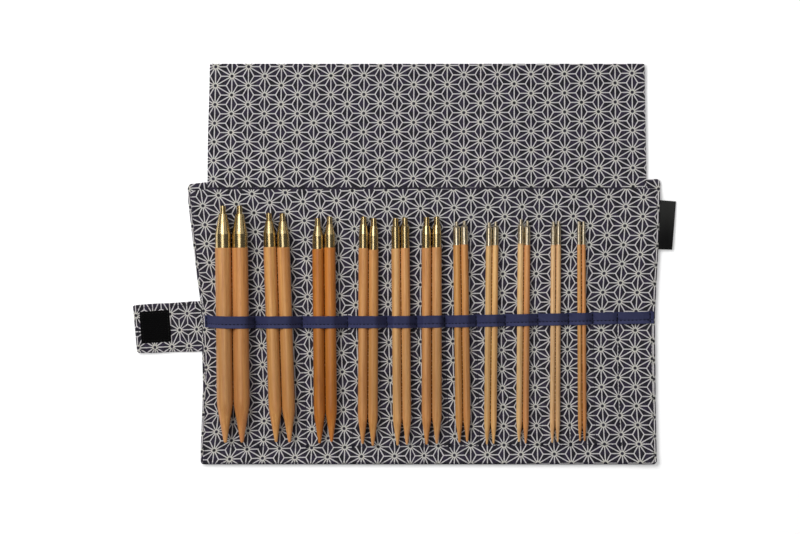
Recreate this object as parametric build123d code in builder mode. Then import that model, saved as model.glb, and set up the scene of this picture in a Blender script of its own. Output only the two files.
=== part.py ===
from build123d import *
import math
import os

os.makedirs("parts", exist_ok=True)

# The case lies open on its back. X runs to the right, Y towards the needles' threaded ends, Z up.
# The origin is the middle of the spine, on the underside.

# Cloth thicknesses
outer_thickness = 1.6
hem_thickness = 1.0
lining_thickness = 0.8
flap_thickness = 0.8
tab_thickness = 1.6
patch_thickness = 0.9
ribbon_thickness = 0.5
band_thickness = 0.7

# Case outline, each reach measured from the middle of the spine
spine_width = 17.0
fold_gap = 0.3
spine_fold_rise = 2.5
case_foot = 87.3
case_top = 87.3
lining_top = 83.0
left_reach_foot = 141.2
left_reach_waist = 140.6
left_reach_top = 148.2
left_waist_height = 11.7
right_reach_foot = 140.6
right_reach_waist = 138.1
right_reach_top = 142.2
right_waist_height = 1.2
corner_radius = 2.8

# Flap that covers the threaded ends
flap_length = 75.9
flap_left_reach = 136.9
flap_right_reach = 131.8
flap_corner_radius = 1.5
flap_root_gap = 0.3
flap_hem_clearance = 0.35

# Closing tab and its hook and loop patches
tab_length = 40.4
tab_end_width = 29.2
tab_root_width = 30.4
tab_angle = 2.6
tab_drop = 2.2
tab_corner_radius = 1.2
tab_gusset = 18.5
tab_seam_gap = 0.5
tab_wrap_clearance = 0.4
hook_patch_length = 18.2
hook_patch_width = 19.8
hook_patch_inset = 0.4
loop_patch_size = 24.0
loop_patch_inset = 3.0

# Folded ribbon label in the right seam
label_length = 9.8
label_width = 30.0
label_height_up_case = 59.5
label_seam_depth = 2.5

# Needle loops: the band's middle at each panel, and its width
band_width = 7.2
band_left_height = 0.3
band_spine_height = 0.7
band_right_height = 1.6
band_right_angle = 0.85
band_left_end = 140.2
band_right_end = 137.4
band_seam = 1.8
seam_rise = 0.1
loop_clearance = 0.3
empty_loop_height = 1.3
empty_loop_width = 7.0

# Needles
wood_clearance = 0.3
pair_gap = 0.3
glue_line = 0.05
ferrule_wall = 0.45
ferrule_step = 0.12
tenon_length = 6.0
large_neck_diameter = 3.5
large_thread_core = 1.6
small_neck_diameter = 1.8
small_thread_core = 0.95
thread_depth = 6.0
point_blunt = 0.25
point_rounding = 0.18
point_least = 5.0
point_growth = 1.9
point_shoulder = 3.0
neck_change = 5.0

# One row a pair, from left to right: panel, diameter, X at the wood's upper end, X at the points,
# Y of the wood's upper end, Y of the points, how far the right needle sits back,
# then the ferrule: barrel length, cone length, neck length, diameter at the cone's end
pairs = [
    ("left", 10.0, -122.7, -121.4, 45.8, -74.3, 0.0, 8.5, 12.3, 5.1, 5.1),
    ("left", 8.0, -95.0, -91.1, 46.4, -73.8, 0.5, 8.5, 7.5, 4.9, 4.4),
    ("left", 7.0, -65.9, -64.8, 45.0, -74.8, -0.9, 8.0, 6.2, 4.9, 3.9),
    ("left", 6.0, -38.4, -38.9, 45.6, -75.2, 1.0, 8.6, 6.0, 4.8, 4.6),
    ("left", 5.5, -18.7, -17.6, 45.3, -76.0, -0.3, 13.3, 0.8, 4.7, 4.4),
    ("spine", 6.0, 0.5, 0.55, 45.7, -75.5, -0.4, 8.3, 5.3, 5.3, 4.8),
    ("right", 4.5, 18.4, 20.0, 47.4, -74.2, -0.4, 10.8, 1.2, 2.5, 2.6),
    ("right", 3.75, 37.8, 36.6, 46.9, -75.6, -0.5, 11.0, 0.9, 2.6, 2.3),
    ("right", 3.75, 57.4, 56.4, 48.4, -73.9, 0.9, 10.9, 0.9, 3.2, 2.3),
    ("right", 3.0, 77.1, 76.5, 47.5, -74.4, -0.4, 11.2, 0.7, 2.4, 2.1),
    ("right", 2.5, 92.8, 93.4, 47.8, -73.3, 0.0, 11.3, 0.5, 2.4, 2.0),
]

# Seams between the loops, from left to right, on each panel
left_seams = [-band_left_end, -108.5, -79.5, -51.3, -27.0, -9.6]
spine_seams = [-8.2, 8.2]
right_seams = [9.0, 28.1, 45.9, 66.2, 84.9, 100.0, 115.1, band_right_end]

cloth_top = outer_thickness + lining_thickness
half_spine = spine_width / 2
cover_edge = half_spine + fold_gap / 2

# The folds bend about lines above the cloth, so that the loops beside the spine pass each other
spine_fold_height = cloth_top + spine_fold_rise
closed_thickness = spine_width + 2 * spine_fold_height

# The flap bends about a line that carries it over the thickest needle
flap_root_height = hem_thickness + flap_hem_clearance + flap_thickness / 8
flap_root = lining_top + flap_root_gap
thickest_top = cloth_top + wood_clearance + max(row[1] for row in pairs)
flap_fold_height = (thickest_top + wood_clearance + flap_root_height + flap_thickness) / 2
flap_fold_line = lining_top - flap_root_gap



def left_edge(y):
    """Reach of the left cover at height y: it narrows a little from the foot to the waist, then spreads."""
    if y < left_waist_height:
        share = (y + case_foot) / (left_waist_height + case_foot)
        return left_reach_foot + (left_reach_waist - left_reach_foot) * share
    share = (y - left_waist_height) / (case_top - left_waist_height)
    return left_reach_waist + (left_reach_top - left_reach_waist) * share


# The tab bends about lines that carry its hooks under the closed case
tab_fold_height = (
    closed_thickness + tab_wrap_clearance + tab_thickness + patch_thickness - tab_gusset
) / 2
tab_lean = tab_root_width / 2 * math.sin(math.radians(tab_angle))
tab_seam = left_edge(-tab_drop) + tab_seam_gap + tab_lean
tab_plane = Plane(
    origin=(-tab_seam, -tab_drop, 0),
    x_dir=(-math.cos(math.radians(tab_angle)), -math.sin(math.radians(tab_angle)), 0),
    z_dir=(0, 0, 1),
)


def finish(part, name):
    part.label = name
    export_step(part, f"parts/{name}.step")


def left_outline(top):
    with BuildSketch() as outline:
        with BuildLine():
            Polyline(
                (-cover_edge, -case_foot),
                (-left_reach_foot, -case_foot),
                (-left_reach_waist, left_waist_height),
                (-left_edge(top), top),
                (-cover_edge, top),
                close=True,
            )
        make_face()
        fillet(outline.vertices().sort_by_distance((-left_edge(top), top))[0], corner_radius)
        fillet(outline.vertices().sort_by_distance((-left_reach_foot, -case_foot))[0], corner_radius)
    return outline.sketch


def right_outline(top):
    """Right cover: the fore edge is a shallow bow, nearest to the spine at the waist."""
    with BuildSketch() as outline:
        with BuildLine():
            Polyline((right_reach_top, case_top), (cover_edge, case_top), (cover_edge, -case_foot),
                     (right_reach_foot, -case_foot))
            ThreePointArc(
                (right_reach_foot, -case_foot),
                (right_reach_waist, right_waist_height),
                (right_reach_top, case_top),
            )
        make_face()
        fillet(outline.vertices().sort_by_distance((right_reach_foot, -case_foot))[0], corner_radius)
        with BuildSketch(mode=Mode.PRIVATE) as cut:
            with Locations((0, top)):
                Rectangle(4 * right_reach_top, case_top, align=(Align.CENTER, Align.MIN))
        add(cut.sketch, mode=Mode.SUBTRACT)
        fillet(outline.vertices().sort_by_distance((right_reach_top, top))[0], corner_radius)
    return outline.sketch


def spine_outline(top):
    with BuildSketch() as outline:
        with Locations((0, -case_foot)):
            Rectangle(spine_width - fold_gap, top + case_foot, align=(Align.CENTER, Align.MIN))
    return outline.sketch


def padded_cloth(outline):
    """Outer cloth with its padding, which stops short of the thin hem along the top."""
    with BuildPart() as cloth:
        add(outline(case_top))
        extrude(amount=outer_thickness)
        with BuildSketch(Plane.XY.offset(hem_thickness)):
            with Locations((0, lining_top)):
                Rectangle(4 * right_reach_top, case_top, align=(Align.CENTER, Align.MIN))
        extrude(amount=outer_thickness, mode=Mode.SUBTRACT)
    return cloth.part


def lining_cloth(outline):
    with BuildPart() as cloth:
        with BuildSketch(Plane.XY.offset(outer_thickness)):
            add(outline(lining_top))
        extrude(amount=lining_thickness)
    return cloth.part


# Left cover
with BuildPart() as outer_left:
    add(padded_cloth(left_outline))
finish(outer_left.part, "outer_left")

with BuildPart() as lining_left:
    add(lining_cloth(left_outline))
finish(lining_left.part, "lining_left")

# Spine, with its outer cloth and its lining as two solids
with BuildPart() as spine_outer:
    add(padded_cloth(spine_outline))
with BuildPart() as spine_lining:
    add(lining_cloth(spine_outline))
spine_cloth = Compound(children=[spine_outer.part.solid(), spine_lining.part.solid()])
finish(spine_cloth, "spine_cloth")

# Right cover: the label's seam is a pocket under the lining, and the loop patch is let into the back
label_reach = right_reach_waist + (right_reach_top - right_reach_waist) * (
    label_height_up_case / case_top
) ** 2
loop_patch_middle = right_reach_waist - loop_patch_inset - loop_patch_size / 2

with BuildPart() as label_block:
    with BuildSketch(Plane.XY.offset(outer_thickness - ribbon_thickness)):
        with Locations((label_reach - label_seam_depth, label_height_up_case)):
            Rectangle(label_length + label_seam_depth, label_width, align=(Align.MIN, Align.CENTER))
    extrude(amount=ribbon_thickness)
    fillet(label_block.edges().filter_by(Axis.Z).group_by(Axis.X)[-1], ribbon_thickness)

with BuildPart() as loop_patch:
    with BuildSketch():
        with Locations((loop_patch_middle, -tab_drop)):
            RectangleRounded(loop_patch_size, loop_patch_size, tab_corner_radius)
    extrude(amount=patch_thickness)

with BuildPart() as outer_right:
    add(padded_cloth(right_outline))
    add(label_block.part, mode=Mode.SUBTRACT)
    add(loop_patch.part, mode=Mode.SUBTRACT)
finish(outer_right.part, "outer_right")
finish(label_block.part, "label")
finish(loop_patch.part, "loop_patch")

with BuildPart() as lining_right:
    add(lining_cloth(right_outline))
finish(lining_right.part, "lining_right")


def flap_piece(low_x, high_x, rounded):
    """Flap cloth from the joint with the lining, over the outer's hem, down to the table."""
    with BuildPart() as flap:
        with BuildSketch(Plane.YZ.offset(low_x)):
            with BuildLine():
                Polyline(
                    (flap_root, flap_root_height),
                    (flap_root + flap_length, 0),
                    (flap_root + flap_length, flap_thickness),
                    (flap_root, flap_root_height + flap_thickness),
                    close=True,
                )
            make_face()
        extrude(amount=high_x - low_x)
        if rounded:
            far_end = flap.edges().filter_by(GeomType.LINE).filter_by(Axis.Z).group_by(Axis.Y)[-1]
            fillet(far_end.sort_by(Axis.X)[rounded - 1], flap_corner_radius)
    return flap.part


with BuildPart() as flap_left:
    add(flap_piece(-flap_left_reach, -cover_edge, 1))
finish(flap_left.part, "flap_left")

with BuildPart() as flap_middle:
    add(flap_piece(-half_spine + fold_gap / 2, half_spine - fold_gap / 2, 0))
finish(flap_middle.part, "flap_middle")

with BuildPart() as flap_right:
    add(flap_piece(cover_edge, flap_right_reach, 2))
finish(flap_right.part, "flap_right")


def tab_half_width(along):
    share = along / tab_length
    return (tab_root_width * (1 - share) + tab_end_width * share) / 2


def tab_outline(start, stop):
    with BuildSketch(tab_plane) as outline:
        with BuildLine():
            Polyline(
                (start, -tab_half_width(start)),
                (stop, -tab_half_width(stop)),
                (stop, tab_half_width(stop)),
                (start, tab_half_width(start)),
                close=True,
            )
        make_face()
    return outline.sketch


# Closing tab: the root spans the closed case's edge, the end carries the hooks
with BuildPart() as tab_root:
    add(tab_outline(0, tab_gusset - fold_gap / 2))
    extrude(amount=tab_thickness)
finish(tab_root.part, "tab_root")

with BuildPart() as tab_end:
    add(tab_outline(tab_gusset + fold_gap / 2, tab_length))
    extrude(amount=tab_thickness)
    fillet(tab_end.edges().filter_by(Axis.Z).group_by(Axis.X)[0], tab_corner_radius)
finish(tab_end.part, "tab_end")

with BuildPart() as hook_patch:
    with BuildSketch(tab_plane.offset(tab_thickness)):
        with Locations((tab_gusset + hook_patch_inset, 0)):
            Rectangle(hook_patch_length, hook_patch_width, align=(Align.MIN, Align.CENTER))
    extrude(amount=patch_thickness)
finish(hook_patch.part, "hook_patch")


def pair_x(row, y):
    """X of a pair's middle line at height y."""
    share = (row[4] - y) / (row[4] - row[5])
    return row[2] + (row[3] - row[2]) * share


def loop_profile(circles, low, high, wall):
    """Cloth pulled over a pair: straight from each seam to the needle, round it, and across."""
    with BuildSketch() as profile:
        for x, radius in circles:
            with Locations((x, cloth_top + wood_clearance + radius)):
                Circle(radius + loop_clearance + wall)
        with Locations(((low + high) / 2, cloth_top)):
            Rectangle(high - low + wall, wall + seam_rise, align=(Align.CENTER, Align.MIN))
        make_hull()
        with Locations((0, cloth_top)):
            Rectangle(4 * right_reach_top, cloth_top * 4, align=(Align.CENTER, Align.MAX), mode=Mode.SUBTRACT)
    return profile.sketch


def band(seams, panel, middle, angle, pivot):
    """A strip that lies on the lining at each seam and arches over the needles between seams."""
    rows = [row for row in pairs if row[0] == panel]
    plane = Plane(
        origin=(pivot, middle + band_width / 2, 0),
        x_dir=(math.cos(math.radians(angle)), math.sin(math.radians(angle)), 0),
        z_dir=(math.sin(math.radians(angle)), -math.cos(math.radians(angle)), 0),
    )
    with BuildPart() as strip:
        with BuildSketch(plane):
            with Locations(((seams[0] + seams[-1]) / 2 - pivot, cloth_top)):
                Rectangle(seams[-1] - seams[0], band_thickness, align=(Align.CENTER, Align.MIN))
            hollows = []
            for low, high in zip(seams, seams[1:]):
                inside = [row for row in rows if low < pair_x(row, middle) < high]
                if inside:
                    radius = inside[0][1] / 2
                    x = pair_x(inside[0], middle) - pivot
                    spread = radius + pair_gap / 2
                    circles = [(x - spread, radius), (x + spread, radius)]
                else:
                    radius = empty_loop_height / 2 - wood_clearance
                    x = (low + high) / 2 - pivot
                    circles = [(x - empty_loop_width / 2, radius), (x + empty_loop_width / 2, radius)]
                foot_low = low + band_seam / 2 - pivot
                foot_high = high - band_seam / 2 - pivot
                add(loop_profile(circles, foot_low, foot_high, band_thickness))
                hollows.append(loop_profile(circles, foot_low, foot_high, 0))
            for hollow in hollows:
                add(hollow, mode=Mode.SUBTRACT)
        extrude(amount=band_width)
    return strip.part


with BuildPart() as band_left:
    add(band(left_seams, "left", band_left_height, 0, 0))
finish(band_left.part, "band_left")

with BuildPart() as band_spine:
    add(band(spine_seams, "spine", band_spine_height, 0, 0))
finish(band_spine.part, "band_spine")

with BuildPart() as band_right:
    add(band(right_seams, "right", band_right_height, band_right_angle, (cover_edge + band_right_end) / 2))
finish(band_right.part, "band_right")


def shaft_profile(diameter, wood_length):
    """Wooden shaft along +Y from its point at 0, with a turned tenon at the far end."""
    radius = diameter / 2
    point_length = point_least + point_growth * diameter
    tip = point_blunt + point_rounding * radius
    tenon = radius - ferrule_wall - glue_line
    # The straight cone would meet the shaft at point_length; a tangent arc rounds that corner
    slope = Vector(radius - tip, point_length - tip).normalized()
    cone_end = Vector(radius, point_length) - slope * point_shoulder
    shaft_start = (radius, point_length + point_shoulder)
    with BuildSketch() as profile:
        with BuildLine():
            RadiusArc((0, 0), (tip, tip), -tip)
            Line((tip, tip), cone_end)
            TangentArc(shaft_start, cone_end, tangent=(0, -1))
            Polyline(
                shaft_start,
                (radius, wood_length),
                (tenon, wood_length),
                (tenon, wood_length + tenon_length),
                (0, wood_length + tenon_length),
                (0, 0),
            )
        make_face()
    return profile.sketch


def ferrule_profile(diameter, barrel, cone, neck, cone_end):
    """Brass ferrule along +Y: a cup over the tenon, a cone and a threaded neck."""
    barrel_radius = diameter / 2 - ferrule_step
    socket = diameter / 2 - ferrule_wall
    large = diameter > neck_change
    neck_radius = (large_neck_diameter if large else small_neck_diameter) / 2
    core = (large_thread_core if large else small_thread_core) / 2
    total = barrel + cone + neck
    with BuildSketch() as profile:
        with BuildLine():
            Polyline(
                (socket, 0),
                (barrel_radius, 0),
                (barrel_radius, barrel),
                (cone_end / 2, barrel + cone),
                (neck_radius, barrel + cone),
                (neck_radius, total),
                (core, total),
                (core, total - thread_depth),
                (0, total - thread_depth),
                (0, tenon_length),
                (socket, tenon_length),
                close=True,
            )
        make_face()
    return profile.sketch


# Needles: each lies a little above the lining, along its pair's own line
for number, row in enumerate(pairs, 1):
    panel, diameter, top_x, tip_x, top_y, tip_y, set_back, barrel, cone, neck, cone_end = row
    run = math.hypot(top_x - tip_x, top_y - tip_y)
    along = Vector(top_x - tip_x, top_y - tip_y, 0).normalized()
    across = Vector(along.Y, -along.X, 0)
    height = cloth_top + wood_clearance + diameter / 2
    for side, name in ((-1, "left"), (1, "right")):
        start = Vector(tip_x, tip_y, height) + across * (side * (diameter + pair_gap) / 2)
        start -= along * (set_back * (side + 1) / 2)
        shaft_plane = Plane(origin=start, x_dir=across, z_dir=(0, 0, 1))
        ferrule_plane = Plane(origin=start + along * run, x_dir=across, z_dir=(0, 0, 1))
        with BuildPart() as shaft:
            with BuildSketch(shaft_plane):
                add(shaft_profile(diameter, run))
            revolve(axis=Axis(start, along))
        finish(shaft.part, f"pair_{number:02d}_{name}_shaft")
        with BuildPart() as ferrule:
            with BuildSketch(ferrule_plane):
                add(ferrule_profile(diameter, barrel, cone, neck, cone_end))
            revolve(axis=Axis(start, along))
        finish(ferrule.part, f"pair_{number:02d}_{name}_ferrule")
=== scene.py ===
import bpy
import numpy as np
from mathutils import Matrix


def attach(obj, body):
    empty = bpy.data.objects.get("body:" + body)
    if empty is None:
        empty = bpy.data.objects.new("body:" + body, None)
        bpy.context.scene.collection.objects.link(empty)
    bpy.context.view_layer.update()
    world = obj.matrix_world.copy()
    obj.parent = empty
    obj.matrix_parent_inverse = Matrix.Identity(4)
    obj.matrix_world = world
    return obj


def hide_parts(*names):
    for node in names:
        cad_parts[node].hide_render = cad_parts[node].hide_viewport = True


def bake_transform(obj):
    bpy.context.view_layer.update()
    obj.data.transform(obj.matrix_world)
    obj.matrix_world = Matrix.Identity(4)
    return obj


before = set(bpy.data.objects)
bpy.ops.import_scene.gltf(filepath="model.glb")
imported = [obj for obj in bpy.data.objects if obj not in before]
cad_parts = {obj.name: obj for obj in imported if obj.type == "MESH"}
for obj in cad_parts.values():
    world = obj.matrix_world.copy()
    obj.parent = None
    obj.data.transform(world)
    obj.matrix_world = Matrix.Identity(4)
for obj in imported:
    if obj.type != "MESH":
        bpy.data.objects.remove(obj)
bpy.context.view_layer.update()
scene = bpy.context.scene
scene.view_settings.view_transform = "Standard"
pi = np.pi


def operation(name):
    # an operator or method that adds a Math node
    return lambda wire, *others: wire.maths(name, *others)


class Wire:
    # one output socket; sums and products of wires add Math nodes
    def __init__(self, finish, socket):
        self.finish = finish
        self.socket = socket

    def maths(self, name, *others):
        values = dict(enumerate((self, *others)))
        return self.finish.add("ShaderNodeMath", {"operation": name}, values)["Value"]

    __add__ = __radd__ = operation("ADD")
    __mul__ = __rmul__ = operation("MULTIPLY")
    __sub__ = operation("SUBTRACT")
    __truediv__ = operation("DIVIDE")
    __pow__ = operation("POWER")
    least = operation("MINIMUM")
    most = operation("MAXIMUM")
    over = operation("GREATER_THAN")
    fract = operation("FRACT")
    floor = operation("FLOOR")
    absolute = operation("ABSOLUTE")
    sine = operation("SINE")
    root = operation("SQRT")

    def __rsub__(self, other):
        return self * -1 + other

    def __rtruediv__(self, other):
        return self ** -1 * other

    def ramp(self, low, high, start=0.0, end=1.0):
        # eased step from start to end as the value goes from low to high
        links = {"Value": self, "From Min": low, "From Max": high, "To Min": start, "To Max": end}
        return self.finish.add("ShaderNodeMapRange", {"interpolation_type": "SMOOTHSTEP"}, links)["Result"]


class Finish:
    # one material with a Principled shader
    def __init__(self, name):
        self.material = bpy.data.materials.new(name)
        self.material.use_nodes = True
        self.tree = self.material.node_tree
        self.shader = self.tree.nodes["Principled BSDF"]

    def put(self, socket, value):
        # links a wire, or sets a value; a colour of three numbers gets an alpha of 1
        if isinstance(value, Wire):
            self.tree.links.new(value.socket, socket)
        elif hasattr(value, "__len__") and socket.type == "RGBA" and len(value) == 3:
            socket.default_value = (*value, 1)
        else:
            socket.default_value = value

    def add(self, kind, settings=None, values=None):
        # a node of that type: settings first, then the values or links of its sockets
        node = self.tree.nodes.new(kind)
        for name, value in (settings or {}).items():
            setattr(node, name, value)
        for name, value in (values or {}).items():
            self.put(node.inputs[name], value)
        return {socket.name: Wire(self, socket) for socket in reversed(node.outputs) if socket.enabled}

    def surface(self, **values):
        # the shader's sockets by name, with _ for each space
        for name, value in values.items():
            self.put(self.shader.inputs[name.replace("_", " ")], value)
        return self.material

    def mix(self, amount, first, second):
        # colour between first and second
        return self.add("ShaderNodeMix", {"data_type": "RGBA"}, {0: amount, 6: first, 7: second})["Result"]

    def uv(self, name):
        # a UV map as a vector and as its two numbers
        vector = self.add("ShaderNodeUVMap", {"uv_map": name})["UV"]
        return vector, self.part(vector, "X"), self.part(vector, "Y")

    def part(self, vector, axis):
        return self.add("ShaderNodeSeparateXYZ", values={"Vector": vector})[axis]

    def place(self, location, turn, size):
        # object coordinates, measured from location, turned about Z, in units of size
        vector = self.add("ShaderNodeTexCoord")["Object"]
        values = {"Vector": vector, "Location": location, "Rotation": (0, 0, turn), "Scale": size}
        return self.add("ShaderNodeMapping", {"vector_type": "TEXTURE"}, values)["Vector"]

    def stretched(self, vector, factors):
        # a higher factor makes a pattern finer along that axis
        settings = {"operation": "MULTIPLY"}
        return self.add("ShaderNodeVectorMath", settings, {0: vector, 1: factors})["Vector"]

    def noise(self, vector, scale, detail=2.0, roughness=0.5):
        values = {"Vector": vector, "Scale": scale, "Detail": detail, "Roughness": roughness}
        return self.add("ShaderNodeTexNoise", values=values)["Fac"]

    def bump(self, height, distance, strength=1.0, normal=None):
        values = {"Height": height, "Distance": distance, "Strength": strength}
        if normal is not None:
            values["Normal"] = normal
        return self.add("ShaderNodeBump", values=values)["Normal"]


def threads(x, y):
    # plain weave, in thread widths: warp and weft arches take turns on top in a checkerboard
    across = (x * pi).sine()
    along = (y * pi).sine()
    turns = (across * along * 5).most(-1).least(1) * 0.5 + 0.5
    return across.absolute() * turns + along.absolute() * (1 - turns)


def hempLeaf(u, v, line, blob, dot):
    # hemp-leaf star print: u and v are columns and rows of a triangular grid of stars; each point's
    # three triangle coordinates give its distance to the sides and to the bisectors, which are inked
    a = u.fract()
    b = (v - u * 0.5).fract()
    c = (v * -1 - u * 0.5).fract()
    flip = (a + b + c).over(1.5)
    a, b, c = (x + flip * (1 - x * 2) for x in (a, b, c))
    biggest = a.most(b).most(c)
    smallest = a.least(b).least(c)
    middle = 1 - biggest - smallest
    toLine = (smallest * 0.866).least((middle - smallest) * 0.5)
    fromStar = (middle * middle + smallest * smallest + middle * smallest).root()
    strokes = toLine.ramp(line * 0.72, line * 1.28, 1, 0)
    heart = fromStar.ramp(blob * 0.88, blob * 1.12, 1, 0)
    centre = fromStar.ramp(dot * 0.75, dot * 1.25, 0, 1)
    return strokes.most(heart) * centre, fromStar.ramp(blob * 0.7, blob * 2.2, 1, 0)


cotton = {
    "ground": (0.0115, 0.0105, 0.0135),
    "violet": (0.028, 0.021, 0.043),
    "ink": (0.69, 0.662, 0.672),
    "heart": (0.67, 0.655, 0.58),
    "line": 0.0272,
    "blob": 0.142,
    "dot": 0.088,
    "worn": (0.045, 0.042, 0.055),
    "gap": (0.01, 0.01, 0.014),
    "thread": 0.36,
    "roughness": 0.86,
}


def printedCotton(name):
    # block-printed cotton: the dark ground has violet places, the ink lies unevenly on the threads
    f = Finish(name)
    cloth, x, y = f.uv("cloth")
    _, u, v = f.uv("print")
    wobble = f.noise(cloth, 1.1, 3) - 0.5
    fuzz = f.noise(cloth, 3.3, 2) - 0.5
    ink, heart = hempLeaf(u + wobble * 0.045, v + fuzz * 0.03, cotton["line"], cotton["blob"], cotton["dot"])
    weave = threads(x / cotton["thread"], y / cotton["thread"])
    fibre = f.noise(f.stretched(cloth, (1.3, 5, 1)), 1.0, 4, 0.7)
    patchy = f.noise(cloth, 0.06, 3)
    cover = ink * (weave * 0.16 + fibre * 0.3 + 0.72).least(1)
    tinge = f.noise(cloth, 0.22, 3, 0.6)
    ground = f.mix(tinge.ramp(0.40, 0.62), cotton["ground"], cotton["violet"])
    ground = f.mix(fibre.ramp(0.3, 0.8, 0.0, 0.28), ground, cotton["worn"])
    inkColour = f.mix(heart, cotton["ink"], cotton["heart"])
    inkColour = f.mix(patchy.ramp(0.3, 0.7, 0.0, 0.4), inkColour, [i * 0.8 for i in cotton["ink"]])
    colour = f.mix(cover, ground, inkColour)
    colour = f.mix(weave.ramp(0.1, 0.8, 0.2, 0.0), colour, cotton["gap"])
    height = weave + ink * 0.25 + fibre * 0.3
    normal = f.bump(height, 0.00009, 0.75)
    puckered = f.bump(f.noise(cloth, 0.35, 3), 0.0004, 0.4, normal)
    return f.surface(
        Base_Color=colour, Roughness=cotton["roughness"], Normal=puckered,
        Specular_IOR_Level=0.25, Sheen_Weight=0.12, Sheen_Roughness=0.5)


tape = {
    "colour": (0.0165, 0.0185, 0.056),
    "light": (0.056, 0.062, 0.148),
    "rib": 0.42, "ridge": 0.3,
    "roughness": 0.62,
}


def navyTape(name):
    # u runs along the tape and v across it, both in millimetres; fine ribs cross the tape
    f = Finish(name)
    cloth, u, v = f.uv("cloth")
    rib = (u * (2 * pi / tape["rib"])).sine() * 0.5 + 0.5
    cross = (v * (2 * pi / tape["ridge"]) + (u * (pi / tape["rib"])).sine()).sine() * 0.5 + 0.5
    fibre = f.noise(f.stretched(cloth, (5, 0.8, 1)), 1.2, 4, 0.7)
    worn = f.noise(cloth, 0.16, 3)
    lower = v.ramp(-1.7, -1.3, 1, 0)
    light = (rib * 0.3 + fibre * 0.45 + worn * 0.35 + lower * 0.25 - 0.28).most(0).least(1)
    colour = f.mix(light, tape["colour"], tape["light"])
    normal = f.bump(rib * 0.7 + cross * 0.3 + fibre * 0.3, 0.00008, 0.7)
    return f.surface(
        Base_Color=colour, Roughness=tape["roughness"], Normal=normal, Specular_IOR_Level=0.22,
        Sheen_Weight=0.1, Sheen_Roughness=0.4, Sheen_Tint=(0.5, 0.55, 1.0, 1))


threadColours = {
    "navyThread": ((0.0016, 0.002, 0.006), (0.005, 0.006, 0.018)),
    "inkThread": ((0.004, 0.004, 0.007), (0.018, 0.018, 0.028)),
    "hookThread": ((0.001, 0.001, 0.001), (0.004, 0.004, 0.0042)),
}


def threadFinish(name):
    # v runs along each stitch; the twist is slanted bands
    f = Finish(name)
    _, u, v = f.uv("cloth")
    twist = ((v * 9 + u * 6.3).sine() * 0.5 + 0.5) ** 0.7
    colour = f.mix(twist, *threadColours[name])
    normal = f.bump(twist, 0.00006, 0.8)
    return f.surface(
        Base_Color=colour, Roughness=0.7, Normal=normal, Specular_IOR_Level=0.15, Sheen_Weight=0.05)


blackWeave = {
    "dark": (0.0008, 0.0008, 0.0009),
    "light": (0.0034, 0.0034, 0.0036),
    "thread": 0.45,
}


def blackTape(name, roughness):
    # fuzzy plain weave for the hook and loop tapes
    f = Finish(name)
    cloth, x, y = f.uv("cloth")
    weave = threads(x / blackWeave["thread"], y / blackWeave["thread"])
    fuzz = f.noise(cloth, 2.6, 4, 0.7)
    colour = f.mix((weave * 0.4 + fuzz * 0.6).least(1), blackWeave["dark"], blackWeave["light"])
    normal = f.bump(weave * 0.5 + fuzz, 0.00015, 0.8)
    return f.surface(Base_Color=colour, Roughness=roughness, Normal=normal, Specular_IOR_Level=0.05)


ribbon = {
    "dark": (0.0006, 0.0006, 0.0007),
    "light": (0.0045, 0.0045, 0.0046),
    # the lighter colour of the upper end is a painted sheen
    "paintedSheen": (0.021, 0.021, 0.0195),
    "float": 0.5, "row": 0.22,
    "roughness": 0.42,
}


def ribbonFinish(name):
    # woven satin ribbon: long floats across it, shown as short offset dashes of sheen
    f = Finish(name)
    cloth, x, y = f.uv("cloth")
    across = (x / ribbon["float"] + (y / ribbon["row"]).floor() * 0.4).fract()
    dash = across.ramp(0.05, 0.3) * across.ramp(0.8, 0.98, 1, 0)
    sheen = dash * (y * (pi / ribbon["row"])).sine().absolute()
    fuzz = f.noise(cloth, 1.5, 3, 0.6)
    colour = f.mix((sheen * 0.6 + fuzz * 0.3).least(1), ribbon["dark"], ribbon["light"])
    colour = f.mix(y.ramp(4, 30), colour, ribbon["paintedSheen"])       # the upper end is painted lighter: a painted sheen where the bent ribbon catches the light
    normal = f.bump(sheen + fuzz * 0.4, 0.00004, 0.5)
    return f.surface(
        Base_Color=colour, Roughness=ribbon["roughness"], Normal=normal, Specular_IOR_Level=0.16)


def smooth(x, low, high):
    # eased step from 0 at low to 1 at high
    t = np.clip((x - low) / (high - low), 0, 1)
    return t * t * (3 - 2 * t)


def lerp(share, a, b):
    return a + (b - a) * share


def hump(distance, width):
    # bell curve: 1 at distance 0, falling off over the width
    return np.exp(-(distance / width) ** 2)


def ripple(x, y, length, seed):
    # sum of seven sine waves in random directions, about -1 to 1
    dice = np.random.default_rng(seed)
    turns, phases = dice.uniform(0, 2 * pi, 7), dice.uniform(0, 2 * pi, 7)
    stretches = dice.uniform(0.7, 1.5, 7)
    ways = np.cos(turns) * np.asarray(x)[..., None] + np.sin(turns) * np.asarray(y)[..., None]
    return np.sin(ways * (2 * pi / length) / stretches + phases).sum(-1) * 0.25


def joined(*values):
    # points or UVs from an array of each coordinate
    return np.stack(np.broadcast_arrays(*values), -1)


def pathLengths(path):
    # how far along the path each of its points lies
    return np.concatenate([[0], np.cumsum(np.linalg.norm(np.diff(path, axis=0), axis=1))])


def lineNormals(line):
    # unit normals of a line in a plane: its steps turned a quarter to the left
    step = np.gradient(line, axis=0)
    return np.stack([-step[:, 1], step[:, 0]], -1) / np.linalg.norm(step, axis=1, keepdims=True)


def cornerPull(corner, toEnd):
    # how far a quarter circle draws the side in, this near to the end
    short = np.maximum(corner - toEnd, 0)
    return corner - np.sqrt(np.maximum(corner ** 2 - short ** 2, 0))


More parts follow.
